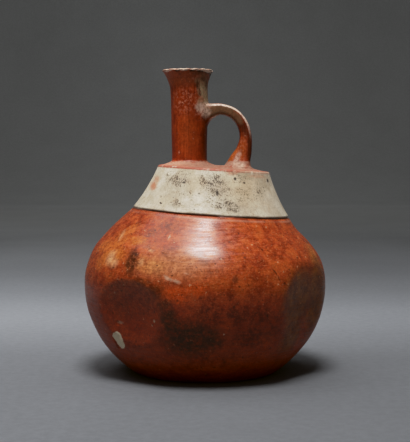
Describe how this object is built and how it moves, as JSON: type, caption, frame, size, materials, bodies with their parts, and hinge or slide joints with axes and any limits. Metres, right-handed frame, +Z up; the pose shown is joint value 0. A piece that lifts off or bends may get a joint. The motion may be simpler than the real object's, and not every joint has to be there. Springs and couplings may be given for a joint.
{
  "type": "terracotta globular vase",
  "caption": "Round hand-built terracotta vase with soft dimples, a leaning conical shoulder closed on top, and an off-centre flared spout joined to the shoulder by a strap handle.",
  "frame": {"origin": "the point on the ground under the middle of the body, in the plane of the flat underside", "axes": "+Z up, +X from the spout towards the handle, -Y is the side seen in the picture"},
  "size_m": [0.173, 0.173, 0.216],
  "materials": {
    "terracotta": "burnished orange-red slip with dark fire clouds on the body and spout, and a worn cream slip on the shoulder"
  },
  "bodies": {
    "root": {"bottle": "terracotta"}
  },
  "joints": []
}
